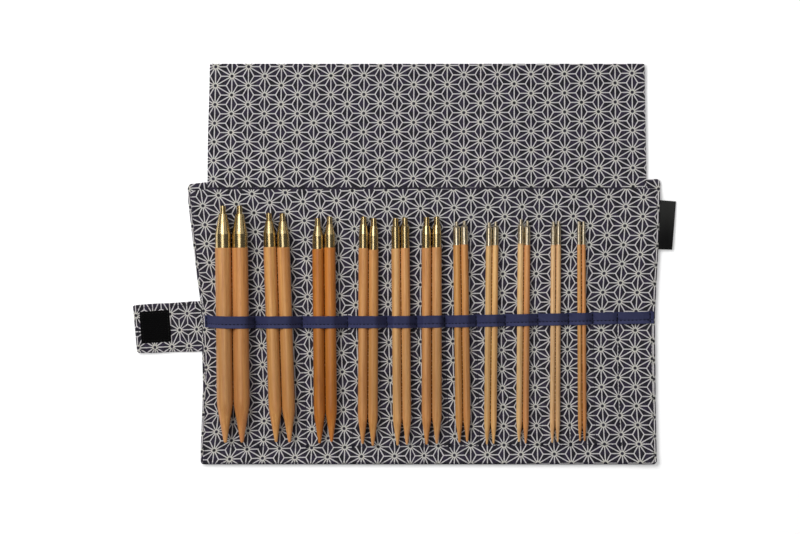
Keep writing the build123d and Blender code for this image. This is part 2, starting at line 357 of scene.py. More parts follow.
def toRim(corner, toSide, toEnd):
    # distance to the rim of a sheet with round corners, from its distances to a side and an end
    aside, short = np.maximum(corner - toSide, 0), np.maximum(corner - toEnd, 0)
    nearest = np.where((aside > 0) & (short > 0), corner - np.hypot(aside, short), np.minimum(toSide, toEnd))
    return np.maximum(nearest, 0)


def rollShare(near, roll):
    # quarter circle: 0 at the edge, 1 from roll inwards
    return np.sqrt(1 - (1 - np.clip(near / roll, 0, 1)) ** 2)


def stations(low, high, step, rollLow=0.0, rollHigh=0.0, extra=()):
    # even steps, closer at a rolled end and at each extra place
    turn = 1 - np.cos(np.linspace(0, pi / 2, 7)[:-1])
    count = int(np.ceil((high - low - rollLow - rollHigh) / step)) + 1
    inner = np.linspace(low + rollLow, high - rollHigh, count)
    near = [place + np.array([-1.6, -1.0, -0.5, 0, 0.5, 1.0, 1.6]) for place in extra]
    ends = [low + rollLow * turn if rollLow else [], high - rollHigh * turn if rollHigh else []]
    places = np.unique(np.round(np.concatenate([inner, *ends, *near]), 4))
    return places[(places >= low) & (places <= high)]


def gridOf(rows, columns):
    # two grids, of the row values and of the column values
    return np.meshgrid(rows, columns, indexing="ij")


def gridFaces(index):
    # quads of a grid of corner numbers, facing the way that columns cross rows
    return np.stack([index[:-1, :-1], index[:-1, 1:], index[1:, 1:], index[1:, :-1]], -1).reshape(-1, 4)


def slab(top, bottom, layers, walls=()):
    # closed cloth: two grids that share their border, but for walls at the named sides
    rows, columns = top.shape[:2]
    upper = np.arange(rows * columns).reshape(rows, columns)
    lower = upper + rows * columns
    shared = np.zeros((rows, columns), bool)
    sides = {"low": np.s_[0, :], "high": np.s_[-1, :], "left": np.s_[:, 0], "right": np.s_[:, -1]}
    for name, side in sides.items():
        if name not in walls:
            shared[side] = True
    lower[shared] = upper[shared]
    faces = [gridFaces(upper), gridFaces(lower)[:, ::-1]]
    for name in walls:
        a, b = upper[sides[name]], lower[sides[name]]
        wall = np.stack([b[:-1], b[1:], a[1:], a[:-1]], -1)
        faces.append(wall if name in ("low", "right") else wall[:, ::-1])
    points = np.concatenate([top.reshape(-1, 3), bottom.reshape(-1, 3)])
    layers = {name: np.concatenate([layer.reshape(-1, 2)] * 2) for name, layer in layers.items()}
    flat = np.concatenate([np.full(len(part), number > 1) for number, part in enumerate(faces)])
    return points, np.concatenate(faces), layers, flat


def tube(path, radii, sides):
    # closed tubes along many paths at once, circles set square to each path's steps:
    # path is (tubes, stations, 3) and radii is (stations,)
    step = np.gradient(path, axis=1)
    step /= np.linalg.norm(step, axis=2, keepdims=True) + 1e-9
    up = np.array([0.02, 0.01, 1.0])
    across = np.cross(step, up)
    across /= np.linalg.norm(across, axis=2, keepdims=True) + 1e-9
    lift = np.cross(across, step)
    angle = np.arange(sides) * 2 * pi / sides
    ring = np.cos(angle)[:, None] * across[:, :, None] + np.sin(angle)[:, None] * lift[:, :, None]
    points = path[:, :, None] + ring * radii[None, :, None, None]
    tubes, count = path.shape[:2]
    index = np.arange(tubes * count * sides).reshape(tubes, count, sides)
    index[:, 0] = index[:, 0, :1]     # each end closes on one corner
    index[:, -1] = index[:, -1, :1]
    points[:, 0] = path[:, 0, None]
    points[:, -1] = path[:, -1, None]
    around = np.concatenate([index, index[:, :, :1]], 2)
    quads = np.stack(
        [around[:, :-1, :-1], around[:, :-1, 1:], around[:, 1:, 1:], around[:, 1:, :-1]], -1)
    length = np.linspace(0, 1, count)[None, :, None] + np.zeros((tubes, 1, sides))
    turn = np.broadcast_to(angle / (2 * pi), length.shape)
    layers = {"cloth": joined(turn, length * 2.2).reshape(-1, 2)}
    return points.reshape(-1, 3), quads.reshape(-1, 4)[:, ::-1], layers, np.zeros(quads.size // 4, bool)


def stack(*parts):
    # several shapes as one mesh
    offsets = np.cumsum([0] + [len(part[0]) for part in parts[:-1]])
    faces = np.concatenate([part[1] + offset for part, offset in zip(parts, offsets)])
    layers = {name: np.concatenate([part[2][name] for part in parts]) for name in parts[0][2]}
    points, flat = (np.concatenate([part[place] for part in parts]) for place in (0, 3))
    return points, faces, layers, flat


def makePiece(name, shape, material, replaces=()):
    # shapes are in millimetres up to here, and the mesh is in metres;
    # quads with a repeated corner become triangles, and corners that no face uses are left out
    points, quads, layers, flat = shape
    whole = np.ones(len(quads), bool)
    triangles, triangleFlat = [], []
    for corner in range(4):
        same = whole & (quads[:, corner] == quads[:, (corner + 1) % 4])
        triangles.append(np.delete(quads[same], corner, axis=1))
        triangleFlat.append(flat[same])
        whole &= ~same
    sets = [quads[whole], *triangles]
    solid = [(part[:, 0] != part[:, 1]) & (part[:, 1] != part[:, 2]) & (part[:, -1] != part[:, 0])
             for part in sets]
    flats = [part[keep] for part, keep in zip([flat[whole], *triangleFlat], solid)]
    sets = [part[keep] for part, keep in zip(sets, solid)]
    used, corners = np.unique(np.concatenate([part.ravel() for part in sets]), return_inverse=True)
    sizes = np.concatenate([np.full(len(part), part.shape[1]) for part in sets])
    mesh = bpy.data.meshes.new(name)
    mesh.vertices.add(len(used))
    mesh.vertices.foreach_set("co", (points[used] * 0.001).astype(np.float32).ravel())
    mesh.loops.add(len(corners))
    mesh.loops.foreach_set("vertex_index", corners.astype(np.int32).ravel())
    mesh.polygons.add(len(sizes))
    mesh.polygons.foreach_set("loop_start", (np.cumsum(sizes) - sizes).astype(np.int32))
    mesh.polygons.foreach_set("use_smooth", ~np.concatenate(flats))
    for layerName, layer in layers.items():
        data = mesh.uv_layers.new(name=layerName).data
        data.foreach_set("uv", layer[used][corners.ravel()].astype(np.float32).ravel())
    mesh.update(calc_edges=True)
    mesh.validate()
    mesh.materials.append(material)
    piece = bpy.data.objects.new(name, mesh)
    scene.collection.objects.link(piece)
    if replaces:
        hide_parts(*replaces)
    return piece


case = {
    "foot": -87.85, "top": 87.3, "topTilt": 0.0068, "liningTop": 82.0, "liningTilt": 0.002,
    # each fore edge: Y along it, and its distance from the middle of the spine there
    "leftAt": [-87.9, -79, -60, -38, -2, 17.3, 32.1, 46.9, 61.7, 76.5, 88.3],
    "left": [142.2, 142.0, 141.2, 140.8, 141.3, 142.7, 144.7, 146.6, 148.2, 149.8, 150.2],
    "rightAt": [-87.9, -75, -55, -25, 5, 24, 38, 60, 88.3],
    "right": [139.6, 139.2, 138.9, 138.4, 138.3, 139.2, 140.2, 141.0, 141.7],
    "corner": 2.6, "roll": 0.95, "liningRoll": 0.6, "edgeHeight": 1.15, "topEdgeHeight": 0.6,
    "wrapLeft": 1.8, "wrapRight": 1.7, "wrapFoot": 0.7, "wrapTop": 2.2,
    "outerBottom": 0.22, "outerTop": 1.52, "hemTop": 1.0,
    "liningGap": 0.04, "liningThickness": 0.74, "flapRoom": 0.72,
    # the needle seams: X of each one's head and of its foot
    "seams": [-108.5, -79.5, -51.3, -27.0, -8.5, 8.5, 28.1, 45.9, 66.2, 84.9, 100.0, 115.1],
    "seamFeet": [-106.3, -76.1, -47.8, -24.0, -5.0, 11.6, 30.4, 49.0, 68.6, 86.3, 101.8, 117.0],
    "seamTop": -3.4, "seamFoot": -75.5, "seamDepth": 0.45, "seamWidth": 0.95, "pucker": 0.06,
    "footRow": -76.3, "footRowTilt": 0.0062, "footRowDepth": 0.3, "liftRight": 0.8, "liftFoot": 0.8,
    "foldStart": 5.5, "foldEnd": 11.5,     # the case's fold at the spine lies between these distances from the middle
    "outerStep": 2.0, "liningStep": 1.35,
}


def foreEdge(side, y):
    at, edge = ("leftAt", "left") if side < 0 else ("rightAt", "right")
    return np.interp(y, case[at], case[edge])


def footRow(x):
    return case["footRow"] + case["footRowTilt"] * x


def underFlap(x, y):
    # 1 where the flap's root lies between the outer cloth and the lining
    return smooth(x, -142.0, -139.2) * smooth(-x, -137.0, -134.2) * smooth(y, 79.0, 80.8)


def caseLift(x, y):
    # the right edge and the foot do not lie quite flat
    return case["liftRight"] * smooth(x, 116, 140) + case["liftFoot"] * smooth(-y, 78.5, 88)


def outerLevel(y):
    return lerp(smooth(y, 78, 80.6), case["outerTop"], case["hemTop"])


def coverGrid(side, top, tilt, step, extra=(), inset=lambda y: 0 * y, footInset=0.0):
    # half of the case from the middle of the spine to its fore edge, with rounded corners; the other
    # values are each point's distance to the nearest edge and how near it is to the side, 0 to 1
    fixed, nominal = 125.0, 140.0          # only what lies beyond fixed is stretched to the fore edge
    foot, corner = case["foot"] + footInset, case["corner"] - footInset
    rows = stations(foot, top, step, case["roll"], case["roll"], [foot + 1.7])
    columns = stations(0, nominal, step, 0, case["roll"], [*extra, nominal - 1.7])
    y, x = gridOf(rows, columns)
    edge = foreEdge(side, y) - inset(y) + 0.14 * np.sin(y / 9.7 + side) * np.sin(y / 23.0)
    fromEnd = np.minimum(y - foot, top - y)
    bound = edge - cornerPull(corner, fromEnd)
    x = np.where(x < fixed, x, fixed + (x - fixed) * (bound - fixed) / (nominal - fixed))
    near = toRim(corner, edge - x, fromEnd)
    sideways = fromEnd / (fromEnd + np.maximum(edge - x, 0) + 1e-6)
    if side < 0:
        x, y, near, sideways = -x[:, ::-1], y[:, ::-1], near[:, ::-1], sideways[:, ::-1]
    y = y + tilt * x * smooth(y, 30, top) - smooth(-x, 137, 149) * smooth(y, 70, 87)
    return x, y, near, sideways


def liningFoot(x, y):
    # underside of the lining, which lies on the outer cloth or on the flap's root
    return outerLevel(y) + case["liningGap"] + case["flapRoom"] * underFlap(x, y) + caseLift(x, y)


def liningLevel(x, y):
    # top of the lining: its underside plus its thickness and soft waves, less a bell-shaped groove
    # with puckers at each needle seam and another groove at the foot row
    level = liningFoot(x, y) + case["liningThickness"]
    level = level + 0.07 * ripple(x, y, 70, 3) + 0.035 * ripple(x, y, 17, 4)
    head, foot = case["seamTop"], case["seamFoot"]
    along = smooth(-y, -head - 1.5, -head + 3) * smooth(y, foot - 2, foot)
    share = (y - head) / (foot - head)
    for number, (headX, footX) in enumerate(zip(case["seams"], case["seamFeet"])):
        away = np.abs(x - lerp(share, headX, footX))
        pucker = case["pucker"] * np.sin(y * (2 * pi / 2.5) + number * 1.7) * hump(away, 2.6)
        level = level - along * (case["seamDepth"] * hump(away, case["seamWidth"]) + pucker)
    row = hump(y - footRow(x), 0.7) * smooth(-np.abs(x), -128, -118)
    return level - case["footRowDepth"] * row


printSpread = {
    # columns and rows of the print as polynomials of x / 140 and (y - centre) / 90, power by power
    "caseColumn": [13.6481, 0.0708, -0.3865, 0.0496, 0.3336, 14.0878, -0.5692, -0.4165, 0.2153, -0.3003,
                   0.0372, 0.0705, -0.1889, 0.1163, 0.0454],
    "caseRow": [6.4699, -7.6695, 0.013, 0.0054, 0.0087, 0.208, -0.0085, -0.0284, 0.0499, -0.0722,
                -0.0483, 0.0298, 0.0115, -0.004, -0.0648],
    "flapColumn": [13.0285, -0.0508, 0.0073, 13.5623, 0.1563, -0.1051],
    "flapRow": [3.2797, -7.7616, 0.111, 0.0695, 0.0536, 0.0214],
    "flapCentre": 120.0,
    "paintedShadeGround": (0.423, 0.634),      # a place of the print without ink, laid where shade is painted
}


def spreadOf(piece, x, y):
    # the print lies a little askew on the cloth: sum of a * x^i * y^j for i + j up to the degree
    column, row = printSpread[piece + "Column"], printSpread[piece + "Row"]
    degree = {6: 2, 15: 4}[len(column)]
    powers = [(x / 140) ** i * (y / 90) ** j for i in range(degree + 1) for j in range(degree + 1 - i)]
    return np.stack([sum(a * power for a, power in zip(terms, powers)) for terms in (column, row)], -1)


def printOnCase(x, y):
    # the lining is gathered a little at the foot of the spine and along the left edge
    eased = smooth(-y, 60, 80) * (
        2.0 * smooth(x, -75, -20) - 2.9 * smooth(x, -16, 6) + 0.9 * smooth(x, 8, 70))
    pulled = 5.2 * smooth(-x, 104, 142) * (smooth(-y, -46, -8) - smooth(-y, 20, 84))
    return spreadOf("case", x - eased - pulled, y)


def printOnOuter(x, y):
    # on the right a line of the print runs along the turned edge, and the foot's turned edge has no ink:
    # painted shade
    pattern = spreadOf("case", x + 7.8, y + 0.9)
    along = joined(27 + (x - foreEdge(1, y) + 1.1) / 10, 0.5 + (82.1 - y) / 11.73)
    pattern = np.where((x > 0)[..., None], along, pattern)
    # the foot's hem is painted dark: painted shade where it rolls away from the light
    return np.where((y < case["foot"] + 1.3)[..., None], printSpread["paintedShadeGround"], pattern)


def wrapWidth(side, y):
    # how far the outer cloth is turned in over the lining's edge
    return case["wrapRight"] + 0 * y if side > 0 else case["wrapLeft"] - 0.9 * hump(y + 2, 20)


def clothLayers(x, y, pattern):
    return {"print": pattern, "cloth": joined(x, y)}


def joinHeight(x, y):
    # height of the lining's turned edge
    return lerp(smooth(y, 76, 81), 1.85, 1.35) + 0.85 * underFlap(x, y) + caseLift(x, y)


def bendAtSpine(piece, side):
    if side < 0:
        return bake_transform(piece)
    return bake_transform(piece)


caseCotton = printedCotton("printedCotton")
for side, word, wall, outerNodes, liningNodes in (
        (-1, "Left", "right", ("outer_left", "spine_cloth"), ("lining_left", "spine_cloth")),
        (1, "Right", "left", ("outer_right",), ("lining_right",))):
    x, y, near, sideways = coverGrid(side, case["top"], case["topTilt"], case["outerStep"])
    share = rollShare(near, case["roll"])
    lift = caseLift(x, y)
    middle = lerp(smooth(y, 79, 83), case["edgeHeight"], case["topEdgeHeight"])
    top = lerp(share, middle, outerLevel(y) + 0.03 * ripple(x, y, 40, 5))
    wrap = np.clip(near / lerp(sideways, case["wrapFoot"], wrapWidth(side, y)), 0, 1)
    rim = np.sqrt(np.maximum(1 - (wrap * 2 - 1) ** 2, 0))         # the hem that is turned up round the edge
    turned = lerp(rim, np.where(wrap < 0.5, middle, case["outerTop"]), case["wrapTop"])
    top = lerp((1 - smooth(y, 79.5, 82)) * (wrap < 1), top, turned)
    bottom = lerp(share, middle, case["outerBottom"])
    shape = slab(joined(x, y, top + lift), joined(x, y, bottom + lift),
                 clothLayers(x, y, printOnOuter(x, y)), [wall])
    outer = makePiece("outerCloth" + word, shape, caseCotton, outerNodes)
    bendAtSpine(outer, side)

    seams = [abs(seam) for seam in case["seams"] + case["seamFeet"] if seam * side > 0]
    x, y, near, _ = coverGrid(side, case["liningTop"], case["liningTilt"], case["liningStep"], seams,
                              lambda y: wrapWidth(side, y) - 0.25, case["wrapFoot"] - 0.2)
    share = rollShare(near, case["liningRoll"])
    join = joinHeight(x, y)
    top, bottom = lerp(share, join, liningLevel(x, y)), lerp(share, join, liningFoot(x, y))
    shape = slab(joined(x, y, top), joined(x, y, bottom), clothLayers(x, y, printOnCase(x, y)), [wall])
    lining = makePiece("lining" + word, shape, caseCotton, liningNodes)
    bendAtSpine(lining, side)
print("case done")


flap = {
    "root": 80.6, "end": 159.4, "left": -136.6, "right": 131.9, "corner": 1.4, "roll": 0.75, "widen": 1.3,
    "crease": 82.7, "creaseDepth": 0.55, "liftRight": 1.3, "liftEnd": 0.4,
    "thickness": 0.7, "rootHeight": 1.03, "restHeight": 0.12, "overHem": 88.8, "onTable": 99.0,
    "tongue": 0.3, "tongueEnd": 4.5, "underlap": 13.0, "step": 1.8,
}


def flapBottom(x, y):
    # high over the case's hem, then down to the table, with soft waves and a lifted right edge
    drop = smooth(y, flap["overHem"], flap["onTable"])
    lift = flap["liftRight"] * smooth(x, 112, 133) + flap["liftEnd"] * smooth(y, 140, 159)
    waves = 0.1 + 0.1 * ripple(x, y, 55, 7)
    return lerp(drop, flap["rootHeight"], flap["restHeight"]) + drop * (waves + lift)


def flapGrid(low, high, rolled):
    # one panel of the flap; only the far corners on the outer sides are round
    rows = stations(flap["root"], flap["end"], flap["step"], 0, flap["roll"], [flap["crease"]])
    rows = np.unique(np.append(rows, [flap["crease"] + 0.4, flap["crease"] + 0.44]))
    rolls = [flap["roll"] * edge for edge in rolled]
    columns = stations(low, high, flap["step"], *rolls, [-flap["tongueEnd"], flap["tongueEnd"], -8.6, 8.6])
    y, x = gridOf(rows, columns)
    toEnd = near = flap["end"] - y
    for bound, edge, way in ((low, rolled[0], 1), (high, rolled[1], -1)):
        if edge:
            wave = 0.15 * np.sin(y / 13.0 + bound) * smooth(y, 84, 90) - flap["widen"] * smooth(-y, -155, -84)
            beside = np.clip(1 - np.abs(x - bound) / 12, 0, 1)
            x = x + way * (cornerPull(flap["corner"], toEnd) + wave) * beside
            near = toRim(flap["corner"], np.abs(x - bound - way * wave), toEnd)
    return x, y, np.maximum(near, 0)


tongueEnd, underlap = flap["tongueEnd"], flap["underlap"]
for word, node, low, high, rolled, bodies, width in (
        ("Left", "flap_left", flap["left"], -tongueEnd, (1, 0), ("left_cover", "left_flap"), 0.134),
        ("Middle", "flap_middle", -underlap, underlap, (0, 0), ("spine", "middle_flap"), 0.026),
        ("Right", "flap_right", tongueEnd, flap["right"], (0, 1), ("right_cover", "right_flap"), 0.129)):
    x, y, near = flapGrid(low, high, rolled)
    share = rollShare(near, flap["roll"])
    bottom = flapBottom(x, y)
    top = bottom + flap["thickness"] - 0.12 * hump(near - 2.2, 0.7)
    top = top - flap["creaseDepth"] * hump(y - flap["crease"], 0.45)
    out = np.abs(x)
    if word == "Middle":                   # it passes under its neighbours' thin tongues
        lapped = smooth(out, tongueEnd - 0.05, tongueEnd + 0.1)
        top = lerp(lapped, top, top - flap["tongue"] - 0.04)
        top = lerp(smooth(out, 8.4, 8.7), top, bottom + 0.2)
    else:
        beside = 1 - smooth(out, underlap + 0.2, underlap + 0.6)
        bottom = lerp(beside, bottom, bottom + 0.26)
        bottom = lerp(1 - smooth(out, 8.2, 8.5), bottom, top - flap["tongue"])
    middle = (top + bottom) / 2
    top, bottom = lerp(share, middle, top), lerp(share, middle, bottom)
    pattern = spreadOf("flap", x, y - printSpread["flapCentre"])
    pattern[y < flap["crease"] + 0.42] = printSpread["paintedShadeGround"]      # no ink in the crease beside the lining: painted shade
    walls = ["low"] + [wall for wall, edge in zip(("left", "right"), rolled) if not edge]
    shape = slab(joined(x, y, top), joined(x, y, bottom), clothLayers(x, y, pattern), walls)
    piece = makePiece("flapCloth" + word, shape, caseCotton, [node])
    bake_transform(piece)
print("flap done")


tab = {
    "seamX": -141.87, "seamY": -2.55, "angle": 2.6, "length": 40.66, "lean": 0.045,
    "rootHalf": 15.5, "endHalf": 14.9, "corner": 1.4, "roll": 0.8, "bottom": 0.1, "thickness": 1.5,
    "split": 9.5, "hidden": -3.0, "hiddenTop": 1.3, "hiddenBottom": 0.5,
    "crease": 17.2, "creaseDepth": 0.22, "lift": 1.1, "stitchInset": 2.0, "stitchEnd": 38.4,
    # bodies and the two ends of each bend
    "folds": {"Root": ("left_cover", "tab_side", -0.5, 5.0), "End": ("tab_side", "tab_tip", 13.5, 18.9)},
}
tabTurn = np.radians(tab["angle"])


def onTab(s, t, z):
    # s runs out from the cover's edge and t towards the top of the case
    x = tab["seamX"] - s * np.cos(tabTurn) - t * np.sin(tabTurn)
    y = tab["seamY"] - s * np.sin(tabTurn) + t * np.cos(tabTurn)
    return joined(x, y, z)


def tabHalf(s):
    return lerp(s / tab["length"], tab["rootHalf"], tab["endHalf"])


def printOnTab(points):
    x, y = points[..., 0] + 160, points[..., 1]
    return joined(0.4914 + 0.00426 * x - 0.09959 * y, -0.9476 + 0.09489 * x + 0.00569 * y)


def tabLift(s):
    return tab["lift"] * smooth(s, 8, 40)


def tabGrid(low, high):
    # a panel of the tab; the far end is rolled and has round corners
    roll = tab["roll"]
    t, s = gridOf(stations(-1, 1, 0.09, roll / 15, roll / 15),
                  stations(low, high, 1.3, 0, roll if high == tab["length"] else 0))
    toEnd = tab["length"] - s
    half = tabHalf(s) + 0.12 * np.sin(s / 3.7)
    t = t * (half - cornerPull(tab["corner"], toEnd))
    near = toRim(tab["corner"], half - np.abs(t), toEnd)
    return s + tab["lean"] * t * smooth(s, 20, tab["length"]), t, near


def tabTop(s, t, near):
    # thickness, less the crease across the tab and the sewn groove along its rim, with soft waves
    crease = tab["creaseDepth"] * hump(s - tab["crease"], 1.1)
    level = tab["bottom"] + tab["thickness"] + tabLift(s) - crease
    return level - 0.2 * hump(near - tab["stitchInset"], 0.6) + 0.05 * ripple(s, t, 16, 9)


def bendTab(piece):
    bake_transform(piece)


tabCotton = printedCotton("printedCottonTab")
for word, low, high, node, length in (("Root", tab["hidden"], tab["split"], "tab_root", 0.0125),
                                      ("End", tab["split"], tab["length"], "tab_end", 0.0309)):
    s, t, near = tabGrid(low, high)
    share = rollShare(near, tab["roll"])
    middle = tab["bottom"] + tab["thickness"] / 2 + tabLift(s)
    tucked = smooth(-s, -1.2, 0.8)         # the root is thin where it lies between the cover's layers
    top = lerp(tucked, lerp(share, middle, tabTop(s, t, near)), tab["hiddenTop"])
    bottom = lerp(tucked, lerp(share, middle, tab["bottom"] + tabLift(s)), tab["hiddenBottom"])
    top[[0, -1]] = bottom[[0, -1]] = (top[[0, -1]] + bottom[[0, -1]]) / 2
    walls = ["left", "right"]
    if word == "End":
        top[:, -1] = bottom[:, -1] = middle[:, -1]
        walls = ["right"]
    upper, lower = onTab(s, t, top)[:, ::-1], onTab(s, t, bottom)[:, ::-1]
    shape = slab(upper, lower, clothLayers(upper[..., 0], upper[..., 1], printOnTab(upper)), walls)
    piece = makePiece("tabCloth" + word, shape, tabCotton, [node])
    bendTab(piece)
print("tab done")


patches = {
    "hookStart": 18.8, "hookEnd": 37.2, "hookHalf": 9.8, "hookShift": 0.95, "hookTurn": 0.026,
    "hookBottom": 1.5, "hookTop": 2.02, "hookPitch": 1.22, "hookRise": 0.46, "hookReach": 0.26,
    "hookRadii": [0.09, 0.085, 0.08, 0.08, 0.08, 0.075, 0.07], "jitter": 0.06,
    "loopX": 123.1, "loopY": -2.2, "loopHalf": 12.0, "loopBottom": 0.02, "loopTop": 0.6,
    "corner": 0.9, "roll": 0.3, "step": 0.8, "sewn": 1.3,
}


def patchSlab(low, high, half, floorLevel, topLevel):
    # a thin pad with round corners and a sewn border
    corner, roll, step = patches["corner"], patches["roll"], patches["step"]
    t, s = gridOf(stations(-half, half, step, roll, roll), stations(low, high, step, roll, roll))
    middle, reach = (low + high) / 2, (high - low) / 2
    s = middle + (s - middle) * (reach - cornerPull(corner, half - np.abs(t))) / reach
    near = toRim(corner, reach - np.abs(s - middle), half - np.abs(t))
    share = rollShare(near, roll)
    share[[0, -1]] = 0
    share[:, [0, -1]] = 0
    level = (floorLevel + topLevel) / 2
    dip = 0.12 * hump(near - patches["sewn"], 0.35)
    return s, t, lerp(share, level, topLevel - dip), lerp(share, level, floorLevel)


def onHook(s, t, z):
    # the hook patch is sewn on a little askew
    middle = (patches["hookStart"] + patches["hookEnd"]) / 2
    across = t - (s - middle) * patches["hookTurn"] + patches["hookShift"]
    return onTab(s + t * patches["hookTurn"], across, z + tabLift(s))


def hookRows(low, high):
    # the hooks keep clear of the sewn border
    return np.arange(low + 2.2, high - 1.8, patches["hookPitch"])


s, t, top, bottom = patchSlab(patches["hookStart"], patches["hookEnd"], patches["hookHalf"],
                              patches["hookBottom"], patches["hookTop"])
upper, lower = onHook(s, t, top)[:, ::-1], onHook(s, t, bottom)[:, ::-1]
base = slab(upper, lower, {"cloth": upper[..., :2]})
dice = np.random.default_rng(21)
s, t = np.meshgrid(hookRows(patches["hookStart"], patches["hookEnd"]),
                   hookRows(-patches["hookHalf"], patches["hookHalf"]))
s = s + (np.arange(s.shape[0]) % 2)[:, None] * patches["hookPitch"] / 2         # every other row is offset
s = s.ravel() + dice.normal(0, patches["jitter"], s.size)
t = t.ravel() + dice.normal(0, patches["jitter"], t.size)
turn = (dice.uniform(-0.5, 0.5, s.size) + (np.arange(s.size) % 2) * pi)[:, None]
angle = np.linspace(0, 1.35 * pi, 7)         # each hook is an arch that ends short of its base
reach = patches["hookReach"] * (1 - np.cos(angle))
rise = patches["hookRise"] * np.sin(np.minimum(angle, pi * 0.8))
hookPath = onHook(s[:, None] + np.cos(turn) * reach, t[:, None] + np.sin(turn) * reach,
                  patches["hookTop"] - 0.05 + rise)
hooks = tube(hookPath, np.array(patches["hookRadii"]), 5)
piece = makePiece("hookPatch", stack(base, hooks), blackTape("hookTape", 0.55), ["hook_patch"])
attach(piece, "tab_tip")


def onBack(s, t, z):
    x, y = patches["loopX"] + s, patches["loopY"] + t
    return joined(x, y, z + caseLift(x, y))


half = patches["loopHalf"]
s, t, top, bottom = patchSlab(-half, half, half, patches["loopBottom"], patches["loopTop"])
upper, lower = onBack(s, t, top), onBack(s, t, bottom)
shape = slab(upper, lower, {"cloth": upper[..., :2]})
piece = makePiece("loopPatch", shape, blackTape("loopTape", 0.9), ["loop_patch"])
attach(piece, "right_cover")


label = {
    "corners": [(138.6, 44.9), (148.7, 44.6), (151.05, 74.5), (139.0, 75.4)],
    "height": 2.2, "droop": 0.5, "curl": 1.1, "layer": 0.2, "gap": 0.05, "length": 10, "width": 30,
}


def labelShape():
    # a ribbon folded in two: out along the bottom layer, round the fold, back along the top one
    turns = np.linspace(-pi / 2, pi / 2, 9)
    radius = (label["layer"] + label["gap"]) / 2
    out = np.linspace(0, 1, 14)
    fold = np.stack([1 + np.cos(turns) * radius / label["length"], np.sin(turns) * radius], -1)
    line = np.concatenate([joined(out, 0 * out - radius), fold[1:-1],
                           np.stack([out[::-1], 0 * out + radius], -1)])
    scale = np.array([label["length"], 1])
    normal, length = lineNormals(line * scale), pathLengths(line * scale)
    across = stations(0, 1, 0.05, 0.004, 0.004)
    corners = np.array(label["corners"])

    def side(way):
        offset = line + way * normal / scale * label["layer"] / 2
        share, t = np.meshgrid(offset[:, 0], across)
        low = lerp(share[..., None], corners[0], corners[1])
        high = lerp(share[..., None], corners[3], corners[2])
        x, y = np.moveaxis(lerp(t[..., None], low, high), -1, 0)
        droop = label["droop"] * smooth(share, 0.15, 0.95) + label["curl"] * t ** 2
        return joined(x, y, label["height"] + offset[:, 1] - droop + 0.05 * ripple(x, y, 14, 11))

    outerSide, innerSide = side(-1), side(1)
    border = [0, -1]
    outerSide[border] = innerSide[border] = (outerSide[border] + innerSide[border]) / 2
    layer = np.stack(np.meshgrid(length, across * label["width"]), -1)
    return slab(outerSide, innerSide, {"cloth": layer}, ["left", "right"])


piece = makePiece("foldedLabel", labelShape(), ribbonFinish("blackRibbon"), ["label"])
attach(piece, "right_cover")
print("patches and label done")


pairs = [
    # diameter, X at the wood's upper end, X at the points, Y of the wood's upper end, Y of the points
    (10.0, -122.7, -121.4, 45.8, -74.3), (8.0, -95.0, -91.1, 46.4, -73.8), (7.0, -65.9, -64.8, 45.0, -74.8),
    (6.0, -38.4, -38.9, 45.6, -75.2), (5.5, -18.7, -17.6, 45.3, -76.0), (6.0, 0.5, 0.55, 45.7, -75.5),
    (4.5, 18.4, 20.0, 47.4, -74.2), (3.75, 37.8, 36.6, 46.9, -75.6), (3.75, 57.4, 56.4, 48.4, -73.9),
    (3.0, 77.1, 76.5, 47.5, -74.4), (2.5, 92.8, 93.4, 47.8, -73.3),
]
band = {
    "width": 7.5, "thickness": 0.55, "gap": 0.13, "rest": 2.62, "foot": 0.45,
    "seams": [-138.2, -108.4, -79.3, -51.4, -27.1, -8.7, 8.4, 28.0, 45.9, 66.0, 84.9, 99.9, 115.1, 135.3],
    "ends": np.array([[-139.2, 2.3], [137.6, 2.5]]),
    # Y of the middle line at each X
    "middleAt": [-140.2, -125, -8.6, 0, 9.0, 137.4],
    "middle": [0.35, -0.2, 0.1, 0.33, 0.35, 2.75],
    "woodHeight": 2.7, "pairGap": 0.3, "emptyRadius": 0.3, "emptyRise": 0.35,
    "stitchAt": -1.3, "selvage": 3.1, "soften": 0.55, "step": 0.36,
    "loopFoot": 8.0,                       # the loop on the spine ends here, and does not bend with the fold
}


def bandMiddle(x):
    return np.interp(x, band["middleAt"], band["middle"])


def needleAt(pair, y):
    # X of a pair's middle, which slants a little
    _, top, tip, head, foot = pair
    return tip + (top - tip) * (y - foot) / (head - foot)


def loopLine(low, high):
    # tape over one pair: straight up from the seam to the needle, round it, across, and down again
    y = float(bandMiddle((low + high) / 2))
    inside = [(pair[0] / 2, needleAt(pair, y)) for pair in pairs if low < needleAt(pair, y) < high]
    if inside:
        radius, x = inside[0]
        spread, centre = radius + band["pairGap"] / 2, band["woodHeight"] + radius
    else:                                  # an empty loop is a low arch
        radius, x = band["emptyRadius"], (low + high) / 2 + 0.6
        spread, centre = (high - low) * 0.26, band["rest"] + band["emptyRise"]
    wrap = radius + band["gap"] + band["thickness"] / 2
    line = []
    for way, start in ((-1, low + band["foot"]), (1, high - band["foot"])):
        centreX = x + way * spread
        dx, dz = start - centreX, band["rest"] - centre
        tangent = np.arctan2(dz, dx) + way * np.arccos(min(wrap / np.hypot(dx, dz), 1))
        tangent = np.mod(tangent, 2 * pi) if way < 0 else tangent
        angle = np.linspace(tangent, pi / 2, 24)
        arc = joined(centreX + wrap * np.cos(angle), centre + wrap * np.sin(angle))
        part = np.concatenate([[[start, band["rest"]]], arc])
        line.append(part if way < 0 else part[::-1])
    return np.concatenate(line)


